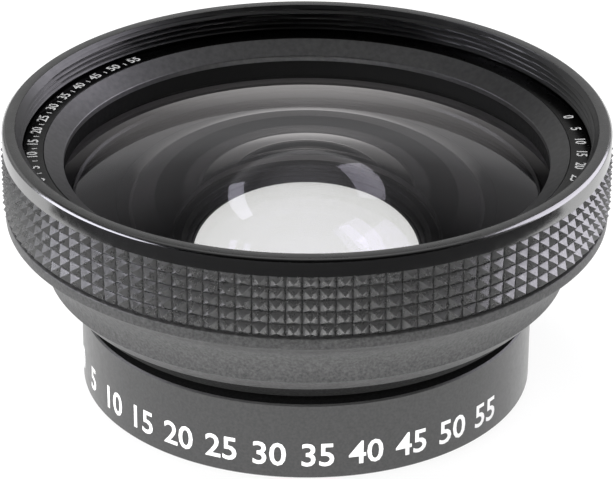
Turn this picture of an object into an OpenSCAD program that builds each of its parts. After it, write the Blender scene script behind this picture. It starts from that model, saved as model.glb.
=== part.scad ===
// Wide-angle conversion lens. Millimetres, +Z towards the front glass, origin at the centre of the
// end face of the male mounting thread.
// The two threads are standard sizes, and the radii inside each follow from it. Heights are stacked
// from the rear glass up to the rim, and the shoulder takes up what the stack leaves.

/* [Filter thread and rim] */
// Nominal diameter of the female filter thread in the rim
filter_thread_d = 72; // [67:1:77]
// Pitch of the filter thread
filter_pitch = 0.75; // [0.5:0.25:1]
// Depth of the filter thread's end below the rim's land
filter_thread_depth = 3.2; // [2.6:0.1:3.8]
// Wall of the rim outside the thread's nominal diameter
rim_wall = 2.05; // [1.8:0.05:2.6]
// Height of the polished side of the rim
rim_h = 2.26; // [2:0.02:2.8]
// Chamfer on the outer edge of the rim
rim_chamfer = 0.35; // [0.1:0.05:0.6]
// Bevel on the inner edge of the rim
rim_bevel = 0.8; // [0.5:0.05:1.1]
// Relief of the rim's skirt behind the thread's crests
thread_relief = 0.5; // [0.45:0.05:0.7]
// Wall of the rim's skirt
skirt_wall = 0.45; // [0.4:0.05:0.7]

/* [Grip] */
// Rows of pyramids
grip_rows = 5; // [4:1:6]
// Pyramids around the ring
grip_columns = 120; // [90:1:140]
// Height of one row of pyramids
grip_row_h = 1.6; // [1.4:0.02:1.8]
// Height of a pyramid above its valleys
grip_point_h = 0.8; // [0.4:0.05:1]
// Wall of the ring under the valleys
grip_wall = 0.45; // [0.4:0.05:0.8]
// Wall of the ring at the shadow groove beside each end row
grip_groove_wall = 0.25; // [0.2:0.02:0.38]
// Height of each shadow groove
grip_groove_h = 0.1; // [0.06:0.02:0.3]
// Turn of the pattern about the axis, in degrees
grip_phase = -0.7; // [-1.5:0.1:1.5]

/* [Barrel] */
// Wall of the tube inside the grip ring
tube_wall = 0.4; // [0.35:0.05:0.7]
// How far the flange stays inside the pyramids' points
flange_step = 0.34; // [0.1:0.02:0.7]
// Height of the flange under the grip ring
flange_h = 1.43; // [1:0.01:2]
// Radius of the cove below the flange
cove_r = 7.6; // [6.6:0.1:8.6]
// Wall at the ridge where the cove ends, outside the front glass
ridge_wall = 1.65; // [1.3:0.05:2]
// Bulge of the shoulder below the ridge, as a share of its chord
shoulder_bulge = 0.02; // [0.005:0.005:0.15]
// How far the barrel's foot stands outside the rear sleeve
foot_step = 0.12; // [0.04:0.02:1]
// Open gap between the foot and the rear sleeve
neck_gap = 1.32; // [0.8:0.02:2]
// How deep the neck goes into the rear sleeve
neck_depth = 2.3; // [1.5:0.02:2.8]
// Wall of the neck outside the second glass
neck_wall = 1.95; // [1.5:0.05:2.2]

/* [Name ring and cone ring] */
// Drop of the name ring's flat below the end of the filter thread
name_set = 0.2; // [0.1:0.05:0.5]
// Radial clearance between the name ring and the thread's crests
name_clearance = 0.1; // [0.05:0.01:0.25]
// Width of the name ring's flat
name_flat_w = 2.5; // [1.5:0.1:2.9]
// Height of the name ring and of the cone ring inside it
name_h = 2.2; // [2:0.05:2.8]
// Drop of the cone from the name ring's flat to the cone ring's lip
cone_drop = 1.5; // [1:0.05:1.8]
// How far the cone ring's lip overhangs the retaining ring's bore
cone_lip = 0.2; // [0.1:0.05:0.5]

/* [Front glass] */
// Radial room between the front glass and the filter thread
front_glass_room = 4.7; // [4.3:0.1:5.4]
// Radius of the front surface
front_r = 118; // [100:1:140]
// Thickness of the front glass on the axis
front_t = 3; // [2.6:0.1:3.6]
// Diameter of the hollow in the rear surface
front_back_d = 44.4; // [42:0.1:47]
// Depth of the hollow in the rear surface
front_back_depth = 13.28; // [11.8:0.02:14.4]
// Bevel on the lower edge of the front glass
front_bevel = 0.8; // [0.4:0.05:1.2]
// How far the front retaining ring laps over the glass
front_ring_lap = 0.6; // [0.4:0.05:1]
// How far the front retaining ring's thread stands outside the glass
front_ring_bite = 2; // [1.6:0.1:2.2]
// Height of the front retaining ring
front_ring_h = 2.34; // [1.8:0.02:2.8]
// Thickness of the cushion ring under the front glass
seat_t = 0.3; // [0.2:0.05:0.5]
// Width of the cushion ring
seat_w = 3.7; // [2.6:0.1:4.8]

/* [Second glass] */
// Width of the seat below the second glass
second_seat_w = 3.1; // [2.4:0.1:3.6]
// Thickness of the second glass on the axis
second_t = 1.6; // [1.2:0.1:2.2]
// Radius of its hollow rear surface
second_r = 127; // [110:1:150]
// Height of its retaining ring
second_ring_h = 1.5; // [1:0.1:2]
// Width of its retaining ring
second_ring_w = 1.7; // [1.2:0.1:2.2]
// Thickness of the ledge that carries it
ledge_t = 1.44; // [1:0.02:2]

/* [Rear barrel] */
// Nominal diameter of the male mounting thread
mount_thread_d = 49; // [46:1:52]
// Length of the male mounting thread
mount_thread_len = 2.2; // [1.9:0.1:3]
// Chamfer on the end of the mounting thread
mount_chamfer = 0.3; // [0.1:0.05:0.5]
// Width of the shoulder outside the mounting thread
mount_shoulder_w = 4.25; // [3.6:0.05:4.6]
// Wall of the sleeve outside the barrel's neck
sleeve_wall = 2.1; // [1.6:0.05:2.4]
// Chamfer on both edges of the sleeve
sleeve_chamfer = 0.2; // [0.1:0.05:0.5]
// Height of the lip that the rear pair seats on
rear_lip_h = 1.85; // [1.4:0.05:2.4]
// Width of the lip that the rear pair seats on
rear_lip_w = 0.7; // [0.5:0.05:1]

/* [Rear pair of glasses] */
// Wall of the mounting thread outside the rear pair
pair_wall = 1.5; // [1.2:0.05:1.8]
// Thickness of the pair's rear glass on the axis
flint_t = 0.8; // [0.6:0.05:1.4]
// Edge thickness of the pair's front glass
crown_edge_t = 1; // [0.6:0.1:1.4]
// Radius of the pair's front surface
pair_r = 75; // [66:1:90]
// Radius of the cemented surface
cement_r = 76; // [66:1:90]
// How far the rear retaining ring laps over the pair
pair_ring_lap = 1.1; // [0.8:0.05:1.6]
// How far the rear retaining ring's thread stands outside the pair
pair_ring_bite = 0.6; // [0.4:0.05:0.9]
// Height of the rear retaining ring
pair_ring_h = 1.5; // [1:0.1:2]
// Room between the rear retaining ring and the barrel's neck
pair_room = 1.14; // [0.5:0.02:1.6]

/* [Lock screws] */
// Diameter of a lock screw
lock_screw_d = 1.6; // [1:0.1:1.8]
// Depth of the driving slot
lock_slot_h = 0.3; // [0.2:0.05:0.4]
// Width of the driving slot
lock_slot_w = 0.3; // [0.2:0.05:0.4]

/* [Rings] */
// Width of the spanner slots in the retaining rings
spanner_w = 1.6; // [1:0.1:2]
// Depth of the spanner slots
spanner_depth = 0.7; // [0.4:0.05:0.8]
// Clearance between turned pieces that fit in each other
fit_gap = 0.05; // [0.02:0.01:0.08]
// End clearance where a skirt or tube must not bottom out
end_gap = 0.2; // [0.1:0.05:0.4]

/* [Hidden] */
$fn = 180;
eps = 0.01;

// Lock screws around the rim's skirt, and the angle of the first
lock_screw_places = 3;
lock_screw_angle = 30;

// Depth of an internal thread below its nominal radius, as a share of the pitch
crest_share = 0.541;

// Height of a spherical cap of radius r over a chord of half width c
function sag(r, c) = r - sqrt(r * r - c * c);

// Radius of an arc over a chord of half width c that rises by h
function rise_radius(c, h) = (c * c + h * h) / (2 * h);

// Centre of the arc of radius r through p and q, on the side of the axis and the front
function arc_centre(p, q, r) =
    let (m = (p + q) / 2, d = q - p, half = norm(d) / 2, n = [d[1], -d[0]] / norm(d))
    m + n * sqrt(r * r - half * half);

// Radii of the rim, grip and tube, from the filter thread outwards
thread_crest_r = filter_thread_d / 2 - crest_share * filter_pitch;
rim_r = filter_thread_d / 2 + rim_wall;
rim_land_in_r = thread_crest_r + rim_bevel;
skirt_in_r = thread_crest_r + thread_relief;
skirt_out_r = skirt_in_r + skirt_wall;
tube_in_r = skirt_out_r + fit_gap;
tube_out_r = tube_in_r + tube_wall;
grip_in_r = tube_out_r + fit_gap;
grip_groove_r = grip_in_r + grip_groove_wall;
grip_valley_r = grip_in_r + grip_wall;
grip_peak_r = grip_valley_r + grip_point_h;
flange_r = grip_peak_r - flange_step;

// Radii of the front glass and its rings, from the filter thread inwards
front_glass_r = filter_thread_d / 2 - front_glass_room;
front_clear_r = front_glass_r - front_ring_lap;
front_ring_r = front_glass_r + front_ring_bite;
front_back_r = rise_radius(front_back_d / 2, front_back_depth);
front_bore_r = front_glass_r + fit_gap;
seat_out_r = front_glass_r - front_bevel - seat_t;
name_out_r = thread_crest_r - name_clearance;
name_in_r = name_out_r - name_flat_w;
cone_lip_r = front_clear_r - cone_lip;
ridge_r = front_bore_r + ridge_wall;
cove_centre_r = ridge_r + cove_r;
cove_h = sqrt(cove_r * cove_r - pow(cove_centre_r - flange_r, 2));

// Radii of the rear, from the mounting thread outwards and inwards
mount_thread_r = mount_thread_d / 2;
sleeve_r = mount_thread_r + mount_shoulder_w;
foot_r = sleeve_r + foot_step;
neck_r = sleeve_r - sleeve_wall - fit_gap;
second_glass_r = neck_r - neck_wall - fit_gap;
second_clear_r = second_glass_r - second_seat_w;
pair_glass_r = mount_thread_r - pair_wall;
pair_ring_r = pair_glass_r + pair_ring_bite;
pair_ring_in_r = pair_glass_r - pair_ring_lap;
rear_clear_r = pair_glass_r - rear_lip_w;

// Heights of the rear pair, from the lip that it seats on
cement_low_z = rear_lip_h + flint_t;
cement_edge_z = cement_low_z + sag(cement_r, pair_glass_r);
pair_edge_z = cement_edge_z + crown_edge_t;
pair_apex_z = pair_edge_z + sag(pair_r, pair_glass_r);
pair_ring_z = pair_apex_z - sag(pair_r, pair_ring_in_r);
pair_ring_top_z = pair_ring_z + pair_ring_h;

// Heights of the neck and of the glasses in the barrel, from the rear pair's ring upwards
neck_end_z = pair_ring_top_z + pair_room;
sleeve_top_z = neck_end_z + neck_depth;
foot_z = sleeve_top_z + neck_gap;
ledge_z = neck_end_z + ledge_t;
second_top_z = ledge_z + sag(second_r, second_clear_r) + second_t;
second_ring_top_z = second_top_z + second_ring_h;
seat_z = second_ring_top_z + fit_gap;
front_flat_z = seat_z + seat_t;
front_apex_z = front_flat_z + front_back_depth + front_t;
front_ring_z = front_apex_z - sag(front_r, front_clear_r);

// Bevel at the bottom of the front glass's bore, fit_gap away from the bevel on the glass
bore_bevel = front_bevel + seat_t - (sqrt(2) - 1) * fit_gap;

// Heights of the front, from the front glass's ring up to the rim
name_z = front_ring_z + front_ring_h;
name_top_z = name_z + name_h;
thread_end_z = name_top_z + name_set;
top_z = thread_end_z + filter_thread_depth;

// Heights of the outside, from the rim down to the ridge
grip_h = grip_rows * grip_row_h + 2 * grip_groove_h;
rim_z = top_z - rim_h;
tube_top_z = rim_z - end_gap;
skirt_end_z = name_z + fit_gap;
grip_z = rim_z - grip_h;
flange_z = grip_z - flange_h;
ridge_z = flange_z - cove_h;

// Lock screws, from the relief in the skirt to just under the tube's outer face
lock_z = (skirt_end_z + thread_end_z) / 2;
lock_in_r = skirt_in_r + fit_gap;
lock_out_r = tube_out_r - fit_gap;

// Rectangle of a turned section, from radius r0 to r1 and height z0 to z1
module band(r0, r1, z0, z1) {
    translate([r0, z0]) square([r1 - r0, z1 - z0]);
}

// Two slots across the top face of a ring, for a spanner
module spanner_slots(r_out, z_top) {
    translate([0, 0, z_top - spanner_depth / 2 + eps / 2])
        cube([2 * r_out + 1, spanner_w, spanner_depth + eps], center = true);
}

// Turned retaining ring with spanner slots
module retaining_ring(r_in, r_out, z0, z1) {
    difference() {
        rotate_extrude() band(r_in, r_out, z0, z1);
        spanner_slots(r_out, z1);
    }
}

// Radial hole or pin at one of the lock screw places
module at_lock_place(i) {
    rotate([0, 0, lock_screw_angle + 360 / lock_screw_places * i])
        translate([0, 0, lock_z])
        rotate([0, 90, 0]) children();
}

module front_rim() {
    color("#1b1b1d") difference() {
        rotate_extrude() polygon([
            [skirt_in_r, skirt_end_z],
            [skirt_in_r, thread_end_z],
            [thread_crest_r, thread_end_z],
            [thread_crest_r, top_z - rim_bevel],
            [rim_land_in_r, top_z],
            [rim_r - rim_chamfer, top_z],
            [rim_r, top_z - rim_chamfer],
            [rim_r, rim_z],
            [skirt_out_r, rim_z],
            [skirt_out_r, skirt_end_z]
        ]);
        for (i = [0 : lock_screw_places - 1])
            at_lock_place(i) cylinder(r = lock_screw_d / 2 + fit_gap, h = rim_r);
    }
}

// Places on the grip: valley corners first, then the points of the pyramids
function grip_angle(column) = -90 + grip_phase + 360 / grip_columns * column;
function grip_point(r, column, height) =
    [r * cos(grip_angle(column)), r * sin(grip_angle(column)), height];
function grip_row_z(row) = grip_z + grip_groove_h + grip_row_h * row;
function valley_index(row, column) = row * grip_columns + column % grip_columns;
function peak_index(row, column) = (grip_rows + 1 + row) * grip_columns + column;

module grip_skin() {
    valleys = [for (row = [0 : grip_rows], column = [0 : grip_columns - 1])
        grip_point(grip_valley_r, column, grip_row_z(row))];
    peaks = [for (row = [0 : grip_rows - 1], column = [0 : grip_columns - 1])
        grip_point(grip_peak_r, column + 0.5, grip_row_z(row + 0.5))];
    facets = [for (row = [0 : grip_rows - 1], column = [0 : grip_columns - 1])
        let (
            a = valley_index(row, column),
            b = valley_index(row, column + 1),
            c = valley_index(row + 1, column + 1),
            d = valley_index(row + 1, column),
            p = peak_index(row, column)
        )
        each [[b, a, p], [c, b, p], [d, c, p], [a, d, p]]];
    floor_face = [for (column = [0 : grip_columns - 1]) valley_index(0, column)];
    roof_face = [for (column = [grip_columns - 1 : -1 : 0]) valley_index(grip_rows, column)];
    polyhedron(points = concat(valleys, peaks), faces = concat(facets, [floor_face, roof_face]));
}

module grip_ring() {
    color("#4b4c4b") difference() {
        union() {
            grip_skin();
            translate([0, 0, grip_z]) cylinder(r = grip_groove_r, h = grip_h);
        }
        translate([0, 0, grip_z - 1]) cylinder(r = grip_in_r, h = grip_h + 2);
    }
}

module barrel_outline() {
    foot = [foot_r, foot_z];
    ridge = [ridge_r, ridge_z];
    chord = norm(ridge - foot);
    shoulder_r = rise_radius(chord / 2, shoulder_bulge * chord);
    band(0, neck_r, neck_end_z, foot_z + eps);
    polygon([[0, foot_z], foot, ridge, [0, ridge_z]]);
    intersection() {
        translate(arc_centre(ridge, foot, shoulder_r)) circle(r = shoulder_r);
        band(neck_r, flange_r, foot_z, ridge_z);
    }
    difference() {
        band(0, flange_r, ridge_z - eps, flange_z + eps);
        translate([cove_centre_r, ridge_z]) circle(r = cove_r);
    }
    band(0, flange_r, flange_z, grip_z);
    band(0, tube_out_r, grip_z - eps, tube_top_z);
}

// Bore of the front glass, bevelled like the glass above the cushion ring
module front_bore() {
    polygon([
        [0, seat_z],
        [front_bore_r - bore_bevel, seat_z],
        [front_bore_r, seat_z + bore_bevel],
        [front_bore_r, top_z],
        [0, top_z]
    ]);
}

module main_barrel() {
    color("#5b5c5d") difference() {
        rotate_extrude() difference() {
            barrel_outline();
            band(0, second_clear_r, neck_end_z - 1, top_z);
            band(0, second_glass_r + fit_gap, ledge_z, top_z);
            front_bore();
            band(0, front_ring_r + fit_gap, front_ring_z - end_gap, top_z);
            band(0, tube_in_r, name_z, top_z);
        }
        for (i = [0 : lock_screw_places - 1])
            at_lock_place(i) cylinder(r = lock_screw_d / 2 + fit_gap, h = rim_r);
    }
}

module name_ring() {
    color("#141415") rotate_extrude() band(name_in_r, name_out_r, name_z, name_top_z);
}

module cone_ring() {
    color("#48484a") rotate_extrude() polygon([
        [cone_lip_r, name_z],
        [name_in_r - fit_gap, name_z],
        [name_in_r - fit_gap, name_top_z],
        [cone_lip_r, name_top_z - cone_drop]
    ]);
}

module front_retaining_ring() {
    color("#1d1d1f") retaining_ring(front_clear_r, front_ring_r, front_ring_z, name_z);
}

module front_element() {
    color("#9aa4ad", 0.4) difference() {
        intersection() {
            rotate_extrude() polygon([
                [0, front_flat_z],
                [front_glass_r - front_bevel, front_flat_z],
                [front_glass_r, front_flat_z + front_bevel],
                [front_glass_r, front_apex_z],
                [0, front_apex_z]
            ]);
            translate([0, 0, front_apex_z - front_r]) sphere(r = front_r);
        }
        translate([0, 0, front_apex_z - front_t - front_back_r]) sphere(r = front_back_r);
    }
}

module front_seat_ring() {
    color("#151515") rotate_extrude() band(seat_out_r - seat_w, seat_out_r, seat_z, front_flat_z);
}

module second_element() {
    color("#9aa4ad", 0.4) difference() {
        translate([0, 0, ledge_z]) cylinder(r = second_glass_r, h = second_top_z - ledge_z);
        translate([0, 0, second_top_z - second_t - second_r]) sphere(r = second_r);
    }
}

module second_retaining_ring() {
    color("#1d1d1f")
        retaining_ring(second_glass_r - second_ring_w, second_glass_r, second_top_z, second_ring_top_z);
}

module rear_barrel() {
    color("#58585a") rotate_extrude() difference() {
        polygon([
            [0, 0],
            [mount_thread_r - mount_chamfer, 0],
            [mount_thread_r, mount_chamfer],
            [mount_thread_r, mount_thread_len],
            [sleeve_r - sleeve_chamfer, mount_thread_len],
            [sleeve_r, mount_thread_len + sleeve_chamfer],
            [sleeve_r, sleeve_top_z - sleeve_chamfer],
            [sleeve_r - sleeve_chamfer, sleeve_top_z],
            [0, sleeve_top_z]
        ]);
        band(0, rear_clear_r, -1, sleeve_top_z + 1);
        band(0, pair_glass_r + fit_gap, rear_lip_h, sleeve_top_z + 1);
        band(0, pair_ring_r + fit_gap, pair_ring_z - end_gap, sleeve_top_z + 1);
        band(0, neck_r + fit_gap, neck_end_z, sleeve_top_z + 1);
    }
}

module third_element() {
    color("#9aa4ad", 0.4) intersection() {
        translate([0, 0, cement_low_z]) cylinder(r = pair_glass_r, h = pair_apex_z - cement_low_z);
        translate([0, 0, pair_apex_z - pair_r]) sphere(r = pair_r);
        translate([0, 0, cement_low_z + cement_r]) sphere(r = cement_r);
    }
}

module fourth_element() {
    color("#9aa4ad", 0.4) difference() {
        translate([0, 0, rear_lip_h]) cylinder(r = pair_glass_r, h = pair_edge_z - rear_lip_h);
        translate([0, 0, cement_low_z + cement_r]) sphere(r = cement_r);
    }
}

module rear_retaining_ring() {
    color("#1d1d1f") retaining_ring(pair_ring_in_r, pair_ring_r, pair_ring_z, pair_ring_top_z);
}

module lock_screw(i) {
    color("#8d8f92") at_lock_place(i) difference() {
        translate([0, 0, lock_in_r]) cylinder(r = lock_screw_d / 2, h = lock_out_r - lock_in_r);
        translate([0, 0, lock_out_r - lock_slot_h / 2 + eps / 2])
            cube([lock_slot_w, lock_screw_d + 1, lock_slot_h + eps], center = true);
    }
}

module lock_screw_1() { lock_screw(0); }
module lock_screw_2() { lock_screw(1); }
module lock_screw_3() { lock_screw(2); }

front_rim();
grip_ring();
main_barrel();
name_ring();
cone_ring();
front_retaining_ring();
front_element();
front_seat_ring();
second_element();
second_retaining_ring();
rear_barrel();
third_element();
fourth_element();
rear_retaining_ring();
lock_screw_1();
lock_screw_2();
lock_screw_3();
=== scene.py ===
import math

import bmesh
import bpy
from mathutils import Matrix, Vector


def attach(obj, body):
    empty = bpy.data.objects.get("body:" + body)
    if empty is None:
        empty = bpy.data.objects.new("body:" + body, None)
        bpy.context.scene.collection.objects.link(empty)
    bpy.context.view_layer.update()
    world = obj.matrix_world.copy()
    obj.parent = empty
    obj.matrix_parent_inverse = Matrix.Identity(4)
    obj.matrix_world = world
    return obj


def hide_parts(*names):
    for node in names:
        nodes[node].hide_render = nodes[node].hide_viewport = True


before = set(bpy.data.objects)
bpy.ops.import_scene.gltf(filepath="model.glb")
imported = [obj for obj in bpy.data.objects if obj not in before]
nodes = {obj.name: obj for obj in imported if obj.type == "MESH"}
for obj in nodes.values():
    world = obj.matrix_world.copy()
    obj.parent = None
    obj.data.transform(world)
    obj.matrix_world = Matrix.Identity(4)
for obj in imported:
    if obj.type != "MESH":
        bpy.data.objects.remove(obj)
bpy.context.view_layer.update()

MM = 0.001
TURNS = 360


# Sections of the turned pieces, in millimetres as radius and height

def arc(centre, radius, start, end, steps):
    """Points of an arc in the section plane, from one angle to another, in degrees."""
    points = []
    for i in range(steps + 1):
        a = math.radians(start + (end - start) * i / steps)
        points.append((centre[0] + radius * math.cos(a), centre[1] + radius * math.sin(a)))
    return points


def cap(apex, radius, r_from, r_to, steps):
    """Points of a spherical surface on the axis. A positive radius has its centre below the apex."""
    points = []
    for i in range(steps + 1):
        r = r_from + (r_to - r_from) * i / steps
        fall = abs(radius) - math.sqrt(radius * radius - r * r)
        points.append((r, apex - math.copysign(fall, radius)))
    return points


def eased(corners, size, steps=3):
    """A closed section with each corner rounded over by about this size."""
    points = []
    count = len(corners)
    for i in range(count):
        before = Vector(corners[i - 1])
        here = Vector(corners[i])
        after = Vector(corners[(i + 1) % count])
        back = before - here
        on = after - here
        reach = min(size, back.length * 0.4, on.length * 0.4)
        p = here + back.normalized() * reach
        q = here + on.normalized() * reach
        for k in range(steps + 1):
            t = k / steps
            points.append(tuple(p.lerp(here, t).lerp(here.lerp(q, t), t)))
    return points


def mesh_object(name, vertices, faces, sharp=30):
    """A mesh in the frame's metres, smooth except over edges sharper than this angle."""
    mesh = bpy.data.meshes.new(name)
    mesh.from_pydata([(x * MM, y * MM, z * MM) for x, y, z in vertices], [], faces)
    work = bmesh.new()
    work.from_mesh(mesh)
    bmesh.ops.recalc_face_normals(work, faces=work.faces)
    work.to_mesh(mesh)
    work.free()
    mesh.shade_smooth()
    mesh.set_sharp_from_angle(angle=math.radians(sharp))
    thing = bpy.data.objects.new(name, mesh)
    bpy.context.scene.collection.objects.link(thing)
    return thing


def turned(name, section, sharp=30, radius_at=None, turns=TURNS):
    """A section turned about the axis. Points on the axis become one vertex each.

    radius_at(r, z, angle) may move a point, for a thread or a slot."""
    vertices = []
    rows = []
    for r, z in section:
        if r < 1e-6:
            rows.append([len(vertices)] * turns)
            vertices.append((0, 0, z))
            continue
        first = len(vertices)
        for k in range(turns):
            a = 2 * math.pi * k / turns
            rk = radius_at(r, z, a) if radius_at else r
            vertices.append((rk * math.cos(a), rk * math.sin(a), z))
        rows.append(list(range(first, first + turns)))
    faces = []
    closed = section[0][0] > 1e-6
    count = len(rows)
    for i in range(count if closed else count - 1):
        low = rows[i]
        high = rows[(i + 1) % count]
        for k in range(turns):
            n = (k + 1) % turns
            ring = [low[k], low[n], high[n], high[k]]
            face = []
            for v in ring:
                if v not in face:
                    face.append(v)
            if len(face) > 2:
                faces.append(face)
    return mesh_object(name, vertices, faces, sharp)


# Materials

def new_material(name, colour, metallic, roughness, **sockets):
    """A Principled material with these values on its own sockets."""
    made = bpy.data.materials.new(name)
    made.use_nodes = True
    shader = made.node_tree.nodes["Principled BSDF"]
    shader.inputs["Base Color"].default_value = (*colour, 1)
    shader.inputs["Metallic"].default_value = metallic
    shader.inputs["Roughness"].default_value = roughness
    for key, value in sockets.items():
        shader.inputs[key.replace("_", " ")].default_value = value
    return made


def place(made, kind, **values):
    """A node of this kind with its named sockets set, unconnected so far."""
    node = made.node_tree.nodes.new(kind)
    for key, value in values.items():
        node.inputs[key.replace("_", " ")].default_value = value
    return node


def join(made, a, b):
    made.node_tree.links.new(a, b)


def noise(made, scale, detail=2.0, stretch=(1, 1, 1)):
    """Noise in the object's own metres, with this many cells per metre."""
    where = made.node_tree.nodes.new("ShaderNodeTexCoord")
    fit = place(made, "ShaderNodeMapping", Scale=stretch)
    cells = place(made, "ShaderNodeTexNoise", Scale=scale, Detail=detail)
    join(made, where.outputs["Object"], fit.inputs["Vector"])
    join(made, fit.outputs["Vector"], cells.inputs["Vector"])
    return cells.outputs["Fac"]


def turning_marks(made, scale, along):
    """Noise that runs round the axis, as a lathe tool leaves it. along is height or radius."""
    where = made.node_tree.nodes.new("ShaderNodeTexCoord")
    split = made.node_tree.nodes.new("ShaderNodeSeparateXYZ")
    join(made, where.outputs["Object"], split.inputs["Vector"])
    if along == "height":
        value = split.outputs["Z"]
    else:
        flat = made.node_tree.nodes.new("ShaderNodeCombineXYZ")
        join(made, split.outputs["X"], flat.inputs["X"])
        join(made, split.outputs["Y"], flat.inputs["Y"])
        length = made.node_tree.nodes.new("ShaderNodeVectorMath")
        length.operation = "LENGTH"
        join(made, flat.outputs["Vector"], length.inputs[0])
        value = length.outputs["Value"]
    cells = made.node_tree.nodes.new("ShaderNodeTexNoise")
    cells.noise_dimensions = "1D"
    cells.inputs["Scale"].default_value = scale
    cells.inputs["Detail"].default_value = 3
    join(made, value, cells.inputs["W"])
    return cells.outputs["Fac"]


def spread(made, value, low, high, start=0.3, end=0.7):
    """A value moved from start to end onto low to high."""
    scaled = place(made, "ShaderNodeMapRange", From_Min=start, From_Max=end, To_Min=low, To_Max=high)
    join(made, value, scaled.inputs["Value"])
    return scaled.outputs["Result"]


def tint(made, value, dark, light):
    """A colour between two greys, by a value from 0 to 1, into the base colour."""
    ramp = made.node_tree.nodes.new("ShaderNodeValToRGB")
    ramp.color_ramp.elements[0].position = 0.3
    ramp.color_ramp.elements[1].position = 0.7
    ramp.color_ramp.elements[0].color = (*dark, 1)
    ramp.color_ramp.elements[1].color = (*light, 1)
    join(made, value, ramp.inputs["Fac"])
    join(made, ramp.outputs["Color"], made.node_tree.nodes["Principled BSDF"].inputs["Base Color"])


def rough(made, value, low, high):
    target = made.node_tree.nodes["Principled BSDF"].inputs["Roughness"]
    join(made, spread(made, value, low, high), target)


def bumped(made, value, distance, strength=1.0, under=None):
    """A bump of this height in metres, over another bump if one is given."""
    bump = place(made, "ShaderNodeBump", Distance=distance, Strength=strength)
    join(made, value, bump.inputs["Height"])
    if under:
        join(made, under, bump.inputs["Normal"])
    join(made, bump.outputs["Normal"], made.node_tree.nodes["Principled BSDF"].inputs["Normal"])
    return bump.outputs["Normal"]


def painted_light_along_y(made, socket, start, end, levels):
    """A grey on this socket that changes across the object from start to end, in millimetres along Y, as painted
    light and shade.
    """
    where = made.node_tree.nodes.new("ShaderNodeTexCoord")
    split = made.node_tree.nodes.new("ShaderNodeSeparateXYZ")
    join(made, where.outputs["Object"], split.inputs["Vector"])
    share = spread(made, split.outputs["Y"], 0, 1, start * MM, end * MM)
    ramp = made.node_tree.nodes.new("ShaderNodeValToRGB")
    for i, (at, level) in enumerate(levels):
        spot = ramp.color_ramp.elements[i] if i < 2 else ramp.color_ramp.elements.new(at)
        spot.position = at
        spot.color = (level, level * 0.97, level * 0.96, 1)
    join(made, share, ramp.inputs["Fac"])
    join(made, ramp.outputs["Color"], made.node_tree.nodes["Principled BSDF"].inputs[socket])


def anodised(name, tone, gloss, coat=0.6, coat_gloss=0.2, tones=0.85):
    """Black anodised aluminium: dark metal under a hard clear oxide that gleams at a low angle."""
    made = new_material(name, (tone, tone, tone), 1.0, gloss, Coat_Weight=coat, Coat_Roughness=coat_gloss,
                        Coat_IOR=1.8)
    return made


def grey(value, warm=0.0):
    return (value * (1 + warm), value, value * (1 - warm))


rim_metal = anodised("rim_metal", 0.3, 0.14, 0.25, 0.12)
rough(rim_metal, noise(rim_metal, 900), 0.13, 0.2)
bumped(rim_metal, turning_marks(rim_metal, 9000, "radius"), 0.000001)

land_metal = anodised("land_metal", 0.25, 0.3, 0.2, 0.25)
rough(land_metal, noise(land_metal, 900), 0.24, 0.34)
bumped(land_metal, turning_marks(land_metal, 9000, "radius"), 0.0000015)

thread_metal = anodised("thread_metal", 0.075, 0.34, 0.3, 0.25)
rough(thread_metal, noise(thread_metal, 900), 0.3, 0.4)

grip_metal = new_material("grip_metal", grey(0.24), 0.9, 0.3, Coat_Weight=0.1, Coat_Roughness=0.25)
tint(grip_metal, noise(grip_metal, 2600), grey(0.225), grey(0.275))
rough(grip_metal, noise(grip_metal, 1200), 0.24, 0.34)
bumped(grip_metal, noise(grip_metal, 5000), 0.0000040)

barrel_metal = new_material("barrel_metal", grey(0.06), 0.65, 0.45, Coat_Weight=0.5, Coat_Roughness=0.4)
tint(barrel_metal, noise(barrel_metal, 3000, 3), grey(0.05), grey(0.12))
rough(barrel_metal, noise(barrel_metal, 1500), 0.46, 0.62)
bumped(barrel_metal, noise(barrel_metal, 2400, 3), 0.00007)

sleeve_metal = new_material("sleeve_metal", grey(0.06), 0.6, 0.4, Coat_Weight=0.6, Coat_Roughness=0.3)
tint(sleeve_metal, noise(sleeve_metal, 3000, 3), grey(0.05), grey(0.07))
rough(sleeve_metal, noise(sleeve_metal, 1100), 0.36, 0.44)
bumped(sleeve_metal, turning_marks(sleeve_metal, 7000, "height"), 0.000003)

trim_black = anodised("trim_black", 0.02, 0.3, 0.3, 0.2)
rough(trim_black, noise(trim_black, 1500), 0.26, 0.36)
bumped(trim_black, turning_marks(trim_black, 6000, "radius"), 0.000003)

cone_metal = anodised("cone_metal", 0.11, 0.42, 0.5, 0.3)
tint(cone_metal, noise(cone_metal, 1400), grey(0.1), grey(0.14))
rough(cone_metal, noise(cone_metal, 900), 0.38, 0.48)
bumped(cone_metal, turning_marks(cone_metal, 8000, "radius"), 0.000004)

inner_metal = new_material("inner_metal", grey(0.006), 0, 0.55, Specular_IOR_Level=0.12)
rough(inner_metal, noise(inner_metal, 1500), 0.48, 0.62)
bumped(inner_metal, turning_marks(inner_metal, 7000, "height"), 0.000006)

# Black paint; it also stands as painted shade in the recesses of the barrel and sleeve and as a painted shadow on
# the front glass edge.
black_paint_and_shade = new_material("black_paint_and_shade", (0.006, 0.006, 0.006), 0, 0.7, Specular_IOR_Level=0.2)
rough(black_paint_and_shade, noise(black_paint_and_shade, 2500), 0.62, 0.8)

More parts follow.
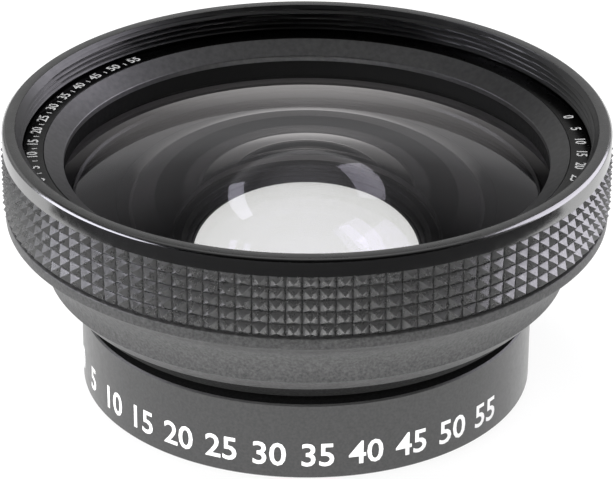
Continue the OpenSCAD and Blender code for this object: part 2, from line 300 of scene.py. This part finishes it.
# Frosted rear annulus of the front glass. Its colour is painted lighter towards the back as painted light and shade,
# and its emission is a painted glow, brightest at the back, that stands in for light seen in the glass.
ground_glass_with_painted_glow = new_material("ground_glass_with_painted_glow", (0.3, 0.29, 0.28), 0, 0.75, Specular_IOR_Level=0.1,
                            Emission_Color=(0, 0, 0, 1), Emission_Strength=1)
rough(ground_glass_with_painted_glow, noise(ground_glass_with_painted_glow, 2500), 0.7, 0.9)
painted_light_along_y(ground_glass_with_painted_glow, "Base Color", -8, 31, ((0, 0.02), (0.4, 0.06), (0.7, 0.2), (1, 0.5)))
painted_light_along_y(ground_glass_with_painted_glow, "Emission Color", -8, 31, ((0, 0), (0.4, 0), (0.77, 0.11), (0.84, 0.19), (1, 0.44)))

# Ground edge of the front glass, its colour painted lighter towards the back as painted light and shade.
glass_edge = new_material("glass_edge", (0.3, 0.29, 0.28), 0, 0.75, Specular_IOR_Level=0.1)
rough(glass_edge, noise(glass_edge, 2500), 0.7, 0.9)
painted_light_along_y(glass_edge, "Base Color", -8, 31, ((0, 0.03), (0.4, 0.2), (1, 0.4)))

figure_white = new_material("figure_white", (0.78, 0.78, 0.77), 0, 0.55)
rough(figure_white, noise(figure_white, 4000), 0.48, 0.62)

figure_grey = new_material("figure_grey", grey(0.2), 0, 0.55)
rough(figure_grey, noise(figure_grey, 4000), 0.48, 0.62)

seat_rubber = new_material("seat_rubber", (0.008, 0.008, 0.008), 0, 0.8)
rough(seat_rubber, noise(seat_rubber, 3000), 0.7, 0.88)

screw_steel = new_material("screw_steel", (0.35, 0.35, 0.36), 1, 0.35)
rough(screw_steel, noise(screw_steel, 4000), 0.28, 0.42)


def glass(name, ior, coat, level):
    """Clear optical glass. The coating holds back the reflection and gives it its colour."""
    made = new_material(name, (0.985, 0.98, 1), 0, 0, IOR=ior, Transmission_Weight=1, Specular_IOR_Level=level)
    made.node_tree.nodes["Principled BSDF"].inputs["Specular Tint"].default_value = (*coat, 1)
    rough(made, noise(made, 60), 0.0, 0.004)
    return made


front_glass = glass("front_glass", 1.7, (0.95, 0.93, 1.0), 0.45)
second_glass = glass("second_glass", 1.62, (0.8, 0.72, 1.0), 0.25)
rear_glass = glass("rear_glass", 1.62, (0.75, 0.7, 1.0), 0.3)


def coated(thing, inside, edge, is_edge):
    """Glass inside, and the given edge material, black paint or a grey with painted light, on the faces that this
    test picks as the ground edge.
    """
    if inside:
        thing.data.materials.append(inside)
    thing.data.materials.append(edge)
    for face in thing.data.polygons:
        centre = face.center / MM
        if is_edge(math.hypot(centre.x, centre.y), centre.z, face.normal):
            face.material_index = len(thing.data.materials) - 1


def figure(body, size):
    """Solid figures from the plain built-in font, as points and faces in millimetres, centred across."""
    shape = bpy.data.curves.new("figure", "FONT")
    shape.body = body
    shape.size = size / 0.7
    shape.extrude = 0.02
    shape.offset = 0.018 * size
    shape.align_x = "CENTER"
    shape.resolution_u = 3
    holder = bpy.data.objects.new("figure", shape)
    bpy.context.scene.collection.objects.link(holder)
    bpy.context.view_layer.update()
    mesh = bpy.data.meshes.new_from_object(holder.evaluated_get(bpy.context.evaluated_depsgraph_get()))
    work = bmesh.new()
    work.from_mesh(mesh)
    bmesh.ops.remove_doubles(work, verts=work.verts, dist=0.001)
    work.verts.ensure_lookup_table()
    points = [tuple(v.co) for v in work.verts]
    faces = [[v.index for v in face.verts] for face in work.faces]
    work.free()
    bpy.data.objects.remove(holder)
    bpy.data.curves.remove(shape)
    bpy.data.meshes.remove(mesh)
    return points, faces


def stroke(width, height):
    """A short upright bar, as points and faces in millimetres."""
    points = [(x, y, z) for z in (-0.02, 0.02) for y in (0, height) for x in (-width / 2, width / 2)]
    faces = [(0, 2, 3, 1), (4, 5, 7, 6), (0, 1, 5, 4), (2, 6, 7, 3), (0, 4, 6, 2), (1, 3, 7, 5)]
    return points, faces


def marked(thing, made, marks, bend):
    """Adds painted marks to a piece. Each mark is a shape and its angle, and bend lays it on the surface."""
    thing.data.materials.append(made)
    index = len(thing.data.materials) - 1
    extra = bmesh.new()
    for (points, faces), angle in marks:
        corners = [extra.verts.new([c * MM for c in bend(x, y, z, angle)]) for x, y, z in points]
        for face in faces:
            extra.faces.new([corners[i] for i in face])
    bmesh.ops.recalc_face_normals(extra, faces=extra.faces)
    for face in extra.faces:
        face.material_index = index
    layer = bpy.data.meshes.new("marks")
    extra.to_mesh(layer)
    extra.free()
    both = bmesh.new()
    both.from_mesh(thing.data)
    both.from_mesh(layer)
    both.to_mesh(thing.data)
    both.free()
    bpy.data.meshes.remove(layer)


def dressed(thing, made, *stands_for, slot=None):
    """Gives a piece its material and its body, and hides the nodes it stands for. The slot is not used."""
    if made:
        thing.data.materials.append(made)
    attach(thing, "root")
    if stands_for:
        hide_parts(*stands_for)
    return thing


# Heights and radii that several pieces share, the same as the solids'
top_z = 37.078
rim_z = 34.818
thread_end_z = 33.878
name_top_z = 33.678
name_z = 31.479
grip_z = 26.618
flange_z = 25.188
ridge_z = 18.063
foot_z = 13.82
sleeve_top_z = 12.5
neck_end_z = 10.2
thread_r = 35.594
rim_r = 38.05
pitch = 0.75


def thread_wave(z, angle, hand=1):
    """A 60 degree thread form from 0 at the crest to 1 at the root, right-handed."""
    phase = (z / pitch - hand * angle / (2 * math.pi)) % 1
    return min(1, max(0, (abs(phase - 0.5) * 2 - 0.08) / 0.84))


# Front rim with its filter thread
def rim_thread(r, z, angle):
    if r > 36.5 or z < thread_end_z + 0.01:
        return r
    bevel = thread_r + max(0, z - (top_z - 0.8))
    cut = thread_r + 0.406 * (1 - thread_wave(z, angle))
    return max(bevel, cut) if z < top_z - 0.05 else r


rim_section = [(36.544, rim_z), (36.544, 31.56), (36.514, 31.53), (36.124, 31.53), (36.094, 31.56)]
rim_section += [(36.094, thread_end_z - 0.02), (thread_r + 0.02, thread_end_z)]
rows = 62
for i in range(rows + 1):
    z = thread_end_z + 0.02 + (top_z - 0.06 - thread_end_z - 0.02) * i / rows
    rim_section.append((thread_r + max(0, z - (top_z - 0.8)), z))
rim_section += [(thread_r + 0.77, top_z - 0.012), (thread_r + 0.84, top_z)]
rim_section += [(rim_r - 0.40, top_z), (rim_r - 0.345, top_z - 0.012)]
rim_section += [(rim_r - 0.012, top_z - 0.345), (rim_r, top_z - 0.40)]
rim_section += [(rim_r, rim_z + 0.04), (rim_r - 0.04, rim_z)]
front_rim = turned("rim_with_filter_thread", rim_section, 35, rim_thread)
for made in (rim_metal, land_metal, thread_metal):
    front_rim.data.materials.append(made)
for face in front_rim.data.polygons:
    c = face.center / MM
    r = math.hypot(c.x, c.y)
    if r < 36.5:
        face.material_index = 2
    elif r < rim_r - 0.37 and c.z > top_z - 0.005:
        face.material_index = 1
dressed(front_rim, None, "front_rim", slot="rim_metal")

# Barrel
foot = Vector((28.87, foot_z))
ridge = Vector((33.0, ridge_z))
chord = (ridge - foot).length
rise = 0.02 * chord
bend_r = (chord * chord / 4 + rise * rise) / (2 * rise)
across = (foot - ridge).normalized()
inward = Vector((across.y, -across.x))
shoulder_c = (foot + ridge) / 2 + inward * (bend_r - rise)
start = math.degrees(math.atan2(foot.y - shoulder_c.y, foot.x - shoulder_c.x))
end = math.degrees(math.atan2(ridge.y - shoulder_c.y, ridge.x - shoulder_c.x))
cove_end = 180 - math.degrees(math.acos((40.6 - 37.954) / 7.6))
barrel_section = [(26.6, neck_end_z), (26.6, foot_z), (28.7, foot_z), (28.82, foot_z + 0.02)]
barrel_section += arc(shoulder_c, bend_r, start + 0.16, end - 0.1, 12)
barrel_section += [(33.0, ridge_z + 0.02), (33.0, ridge_z + 0.12)]
barrel_section += arc((40.6, ridge_z), 7.6, 178.6, cove_end + 1.2, 36)
barrel_section += [(37.9, flange_z + 0.02), (37.945, flange_z + 0.12), (37.954, flange_z + 0.2)]
barrel_section += [(37.954, grip_z - 0.1), (37.9, grip_z - 0.01), (37.85, grip_z)]
barrel_section += [(36.994, grip_z), (36.994, 34.618), (36.594, 34.618), (36.594, name_z)]
barrel_section += [(33.35, name_z), (33.35, 28.94), (31.35, 28.94), (31.35, 17.702), (30.271, 16.623)]
barrel_section += [(24.65, 16.623), (24.65, 11.64), (21.5, 11.64), (21.5, neck_end_z)]
barrel = turned("blasted_barrel", barrel_section, 25)
barrel.data.materials.append(barrel_metal)
# Black paint on the inner bore and on the faces above the grip; on the neck under the shoulder the black is painted
# shade for the recessed gap.
barrel.data.materials.append(black_paint_and_shade)
for face in barrel.data.polygons:
    c = face.center / MM
    if math.hypot(c.x, c.y) < 26.7 or c.z > grip_z + 0.01 or (c.z > 14 and math.hypot(c.x, c.y) < 31.4):
        face.material_index = 1
dressed(barrel, None, "main_barrel", slot="barrel_metal")

# Grip ring, its pyramids parted by narrow grooves
columns = 120
grip_rows = 5
valley_r = 37.494
peak_r = 38.293
groove_r = 37.3
groove_w = 0.1


def grip_mesh():
    """Grid of grooves and valley corners, with a pyramid's point over every cell."""
    step = 2 * math.pi / columns
    first = math.radians(-90 - 0.7)
    half = groove_w / 2
    angles = []
    for c in range(columns):
        angles += [(first + c * step, 0), (first + c * step + half / valley_r, 1)]
        angles.append((first + (c + 1) * step - half / valley_r, 1))
    heights = []
    for k in range(grip_rows):
        low = grip_z + 0.1 + 1.6 * k
        heights += [(low, 0), (low + half, 1), (low + 1.6 - half, 1)]
    heights.append((grip_z + 8.1, 0))
    points = []
    for z, open_row in heights:
        for a, open_column in angles:
            r = valley_r if open_row and open_column else groove_r
            points.append((r * math.cos(a), r * math.sin(a), z))
    count = len(angles)
    rings = len(heights)
    for r, z in ((groove_r, grip_z + 8.2), (37.044, grip_z + 8.2), (37.044, grip_z), (groove_r, grip_z)):
        for a, open_column in angles:
            points.append((r * math.cos(a), r * math.sin(a), z))
    rows = [list(range(k * count, (k + 1) * count)) for k in range(rings + 4)]
    faces = []
    for k in range(rings + 4):
        low = rows[k]
        high = rows[(k + 1) % (rings + 4)]
        for c in range(count):
            n = (c + 1) % count
            if k < rings - 1 and k % 3 == 1 and c % 3 == 1:
                a = first + (c // 3 + 0.5) * step
                z = grip_z + 0.1 + 1.6 * (k // 3 + 0.5)
                tip = len(points)
                points.append((peak_r * math.cos(a), peak_r * math.sin(a), z))
                corners = [low[c], low[n], high[n], high[c]]
                faces += [(corners[i], corners[(i + 1) % 4], tip) for i in range(4)]
            else:
                faces.append((low[c], low[n], high[n], high[c]))
    return mesh_object("knurled_grip", points, faces, 12)


dressed(grip_mesh(), grip_metal, "grip_ring", slot="grip_metal")

# Name ring and cone ring
name_section = eased([(32.994, name_z), (35.494, name_z), (35.494, name_top_z), (32.994, name_top_z)], 0.06)
name_ring = turned("name_ring_turned", name_section)
name_ring.data.materials.append(trim_black)


def on_name_ring(x, y, z, angle):
    r = 33.75 + y
    a = math.radians(angle) - x / 34.2
    return r * math.cos(a), r * math.sin(a), name_top_z + z


marks = [(figure(str(k * 5), 1.3), 198 - k * 6) for k in range(12)]
marks += [(stroke(0.14, 0.7), 195 - k * 6) for k in range(11)]
marks += [(figure(str(k * 5), 1.3), 14 - k * 6) for k in range(6)]
marked(name_ring, figure_grey, marks, on_name_ring)
dressed(name_ring, None, "name_ring", slot="trim_black")
cone_section = [(30.5, name_z), (32.944, name_z), (32.944, name_top_z - 0.05), (32.9, name_top_z)]
cone_section += [(30.62, name_top_z - 1.46), (30.54, name_top_z - 1.5), (30.5, name_top_z - 1.56)]
dressed(turned("cone_ring_turned", cone_section), cone_metal, "cone_ring", slot="cone_metal")

# Retaining rings
ring_section = eased([(30.7, 29.135), (33.3, 29.135), (33.3, name_z), (30.7, name_z)], 0.08)
dressed(turned("front_ring_turned", ring_section), inner_metal, "front_retaining_ring", slot="inner_metal")
second_section = eased([(22.9, 15.073), (24.6, 15.073), (24.6, 16.573), (22.9, 16.573)], 0.08)
dressed(turned("second_ring_turned", second_section), inner_metal, "second_retaining_ring", slot="inner_metal")
rear_section = eased([(21.9, 7.565), (23.6, 7.565), (23.6, 9.065), (21.9, 9.065)], 0.08)
dressed(turned("rear_ring_turned", rear_section), inner_metal, "rear_retaining_ring", slot="inner_metal")

# Glasses
front_section = cap(33.2, 118, 0, 31.3, 60) + [(31.3, 24), (31.3, 17.722), (30.5, 16.925)]
front_section += list(reversed(cap(30.2, 25.2, 0, 22.2, 60)))
front_lens = turned("front_lens", front_section, 30)
# The rear annulus and the edge of the front glass take greys painted lighter towards the back, as painted light.
coated(front_lens, front_glass, ground_glass_with_painted_glow, lambda r, z, n: z < 19.5 and r > 22.25)
coated(front_lens, None, glass_edge, lambda r, z, n: r > 31.2 or (z < 19.5 and r > 30.6))
# Black on the glass edge above 24 mm is a painted shadow, the shade that the front retaining ring casts there.
coated(front_lens, None, black_paint_and_shade, lambda r, z, n: r > 31.2 and z > 24)
dressed(front_lens, None, "front_element", slot="front_glass")

second_section = [(0, 15.073), (24.6, 15.073), (24.6, 11.64)]
second_section += list(reversed(cap(13.473, 127, 0, 21.5, 40)))
second_lens = turned("second_lens", second_section, 30)
coated(second_lens, second_glass, black_paint_and_shade, lambda r, z, n: r > 24.5 or (z < 11.65 and r > 21.5))
dressed(second_lens, None, "second_element", slot="inner_glass")

pair_section = cap(10.834, 75, 0, 23, 50) + [(23, 1.85), (0, 1.85)]
pair = turned("rear_lens_pair", pair_section, 30)
coated(pair, rear_glass, black_paint_and_shade, lambda r, z, n: r > 22.9)
dressed(pair, None, "third_element", "fourth_element", slot="inner_glass")


# Rear sleeve with its mounting thread
def mount_thread(r, z, angle):
    if r < 23.9 or r > 24.6 or z > 1.95:
        return r
    chamfer = 24.2 + z
    cut = 24.5 - 0.46 * (1 - thread_wave(z, angle))
    return min(chamfer, cut) if z > 0.05 else r


sleeve_section = [(22.3, 0.0), (24.15, 0.0)]
for i in range(39):
    z = 0.06 + 1.88 * i / 38
    sleeve_section.append((min(24.5, 24.2 + z), z))
sleeve_section += [(24.03, 1.98), (24.03, 2.2), (28.5, 2.2), (28.55, 2.2), (28.75, 2.4)]
sleeve_section += [(28.75, 2.45), (28.75, 12.25), (28.75, 12.3), (28.55, 12.5), (28.5, 12.5)]
sleeve_section += [(26.65, 12.5), (26.65, neck_end_z), (23.65, neck_end_z), (23.65, 7.365)]
sleeve_section += [(23.05, 7.365), (23.05, 1.85), (22.3, 1.85)]
sleeve = turned("rear_sleeve", sleeve_section, 28, mount_thread)
sleeve.data.materials.append(sleeve_metal)
# Black paint inside the bore; on the top face and the neck, above 10 mm, the black is painted shade for the gap
# under the shoulder.
sleeve.data.materials.append(black_paint_and_shade)
for face in sleeve.data.polygons:
    c = face.center / MM
    if math.hypot(c.x, c.y) < 23.7 and c.z > 0.01 or (math.hypot(c.x, c.y) < 28.5 and c.z > 10):
        face.material_index = 1


def on_sleeve(x, y, z, angle):
    a = math.radians(angle - 90) + x / 28.75
    r = 28.75 + z
    return r * math.cos(a), r * math.sin(a), 4.0 + y


marks = [(figure(str(k * 5), 3.1), k * 12 - 81) for k in range(12)]
marked(sleeve, figure_white, marks, on_sleeve)
dressed(sleeve, None, "rear_barrel", slot="sleeve_metal")

# Hidden pieces keep their solids
for name, made in (("front_seat_ring", seat_rubber), ("lock_screw_1", screw_steel),
                   ("lock_screw_2", screw_steel), ("lock_screw_3", screw_steel)):
    nodes[name].data.materials.clear()
    nodes[name].data.materials.append(made)


# Camera, fitted to the photograph's rim, grip and sleeve
tilt = math.radians(27.186)
roll = 0.00457
distance = 411.92
camera_at = Vector((0.12, -distance * math.cos(tilt), top_z - 16.88 + distance * math.sin(tilt)))
ahead = Vector((0, math.cos(tilt), -math.sin(tilt)))
level = Vector((1, 0, 0))
up = Vector((0, math.sin(tilt), math.cos(tilt)))
right = level * math.cos(roll) + up * math.sin(roll)
over = up * math.cos(roll) - level * math.sin(roll)
lens = bpy.data.cameras.new("camera")
lens.sensor_width = 36
lens.lens = 3236.8 / 615 * 36
lens.clip_start = 0.02
lens.clip_end = 20
camera = bpy.data.objects.new("camera", lens)
camera.matrix_world = Matrix((
    (right.x, over.x, -ahead.x, camera_at.x * MM),
    (right.y, over.y, -ahead.y, camera_at.y * MM),
    (right.z, over.z, -ahead.z, camera_at.z * MM),
    (0, 0, 0, 1)))
bpy.context.scene.collection.objects.link(camera)
bpy.context.scene.camera = camera


# Floor
def disc(name, radius, z):
    ring = [(radius * math.cos(2 * math.pi * k / 96), radius * math.sin(2 * math.pi * k / 96), z) for k in range(96)]
    return mesh_object(name, ring, [list(range(96))])


floor = disc("floor", 6000, -0.01)
floor_paint = new_material("floor_paint", (0.86, 0.86, 0.86), 0, 0.9)
paths = floor_paint.node_tree.nodes.new("ShaderNodeLightPath")
glow = place(floor_paint, "ShaderNodeEmission", Color=(1, 1, 1, 1), Strength=1.04)
mixed = floor_paint.node_tree.nodes.new("ShaderNodeMixShader")
mirrored = floor_paint.node_tree.nodes.new("ShaderNodeMath")
mirrored.operation = "MAXIMUM"
join(floor_paint, paths.outputs["Is Glossy Ray"], mirrored.inputs[0])
join(floor_paint, paths.outputs["Is Transmission Ray"], mirrored.inputs[1])
seen = floor_paint.node_tree.nodes.new("ShaderNodeMath")
seen.operation = "MULTIPLY_ADD"
join(floor_paint, paths.outputs["Is Camera Ray"], seen.inputs[0])
seen.inputs[1].default_value = 0.88
join(floor_paint, mirrored.outputs["Value"], seen.inputs[2])
join(floor_paint, seen.outputs["Value"], mixed.inputs[0])
join(floor_paint, floor_paint.node_tree.nodes["Principled BSDF"].outputs[0], mixed.inputs[1])
join(floor_paint, glow.outputs[0], mixed.inputs[2])
join(floor_paint, mixed.outputs[0], floor_paint.node_tree.nodes["Material Output"].inputs["Surface"])
floor.data.materials.append(floor_paint)

# A dark card with a round cut lies in front, seen by mirrored rays only, as the front faces a dark room
card_edge = [(-900, 4, 0), (-900, -1500, 0), (900, -1500, 0), (900, 4, 0)]
card_edge += [(105 * math.cos(a), 4 - 72 * math.sin(a), 0) for a in (math.pi * k / 48 for k in range(49))]
card = mesh_object("dark_card", card_edge, [list(range(len(card_edge)))])
card.data.materials.append(new_material("card_black", (0.012, 0.012, 0.012), 0, 0.9))
card.location.z = -0.004 * MM
card.visible_camera = False
card.visible_transmission = False
card.visible_shadow = False
card.visible_diffuse = False


# Light
def softbox(name, at, towards, width, height, power, colour=(1, 1, 1)):
    """A rectangular area light, with its place and aim in millimetres."""
    lamp = bpy.data.lights.new(name, "AREA")
    lamp.shape = "RECTANGLE"
    lamp.size = width * MM
    lamp.size_y = height * MM
    lamp.energy = power
    lamp.color = colour
    thing = bpy.data.objects.new(name, lamp)
    thing.location = Vector(at) * MM
    aim = (Vector(towards) - Vector(at)).normalized()
    thing.rotation_mode = "QUATERNION"
    thing.rotation_quaternion = aim.to_track_quat("-Z", "Y")
    bpy.context.scene.collection.objects.link(thing)
    return thing


softbox("left_softbox", (-570, -60, 240), (0, 0, 25), 520, 320, 1.6, (0.9, 0.89, 1))
softbox("right_softbox", (496, 231, 300), (0, 0, 25), 560, 520, 1.9, (0.92, 0.89, 1))
top_softbox = softbox("top_softbox", (-150, 60, 620), (0, 0, 25), 500, 400, 10.0)
front_softbox = softbox("front_softbox", (-120, -520, 300), (0, 0, 15), 400, 300, 5.0)
for lamp in (top_softbox, front_softbox):
    lamp.visible_glossy = False
    lamp.visible_transmission = False

world = bpy.data.worlds.new("studio")
bpy.context.scene.world = world
world.use_nodes = True
tree = world.node_tree
background = tree.nodes["Background"]
background.inputs["Color"].default_value = (1, 1, 1, 1)
paths = tree.nodes.new("ShaderNodeLightPath")
where = tree.nodes.new("ShaderNodeTexCoord")
split = tree.nodes.new("ShaderNodeSeparateXYZ")
tree.links.new(where.outputs["Generated"], split.inputs["Vector"])
sky = tree.nodes.new("ShaderNodeValToRGB")
sky_points = ((0.0, 0.25), (0.2, 0.35), (0.34, 0.5), (0.39, 0.45), (0.45, 0.3), (0.57, 0.2), (0.68, 0.07), (0.8, 0.2), (1.0, 0.45))
for i, (at, strength) in enumerate(sky_points):
    spot = sky.color_ramp.elements[i] if i < 2 else sky.color_ramp.elements.new(at)
    spot.position = at
    spot.color = (strength, strength, strength, 1)
tree.links.new(split.outputs["Z"], sky.inputs["Fac"])
slope = tree.nodes.new("ShaderNodeMapRange")
slope.inputs["From Min"].default_value = -0.4
slope.inputs["From Max"].default_value = 0.2
slope.inputs["To Min"].default_value = 0.05
slope.inputs["To Max"].default_value = 1.0
tree.links.new(split.outputs["Y"], slope.inputs["Value"])
both = tree.nodes.new("ShaderNodeMath")
both.operation = "MULTIPLY"
tree.links.new(sky.outputs["Color"], both.inputs[0])
tree.links.new(slope.outputs["Result"], both.inputs[1])
shown = tree.nodes.new("ShaderNodeMix")
shown.data_type = "FLOAT"
tree.links.new(paths.outputs["Is Camera Ray"], shown.inputs[0])
tree.links.new(both.outputs["Value"], shown.inputs[2])
shown.inputs[3].default_value = 1.0
tree.links.new(shown.outputs[0], background.inputs["Strength"])

scene = bpy.context.scene
scene.view_settings.view_transform = "Standard"
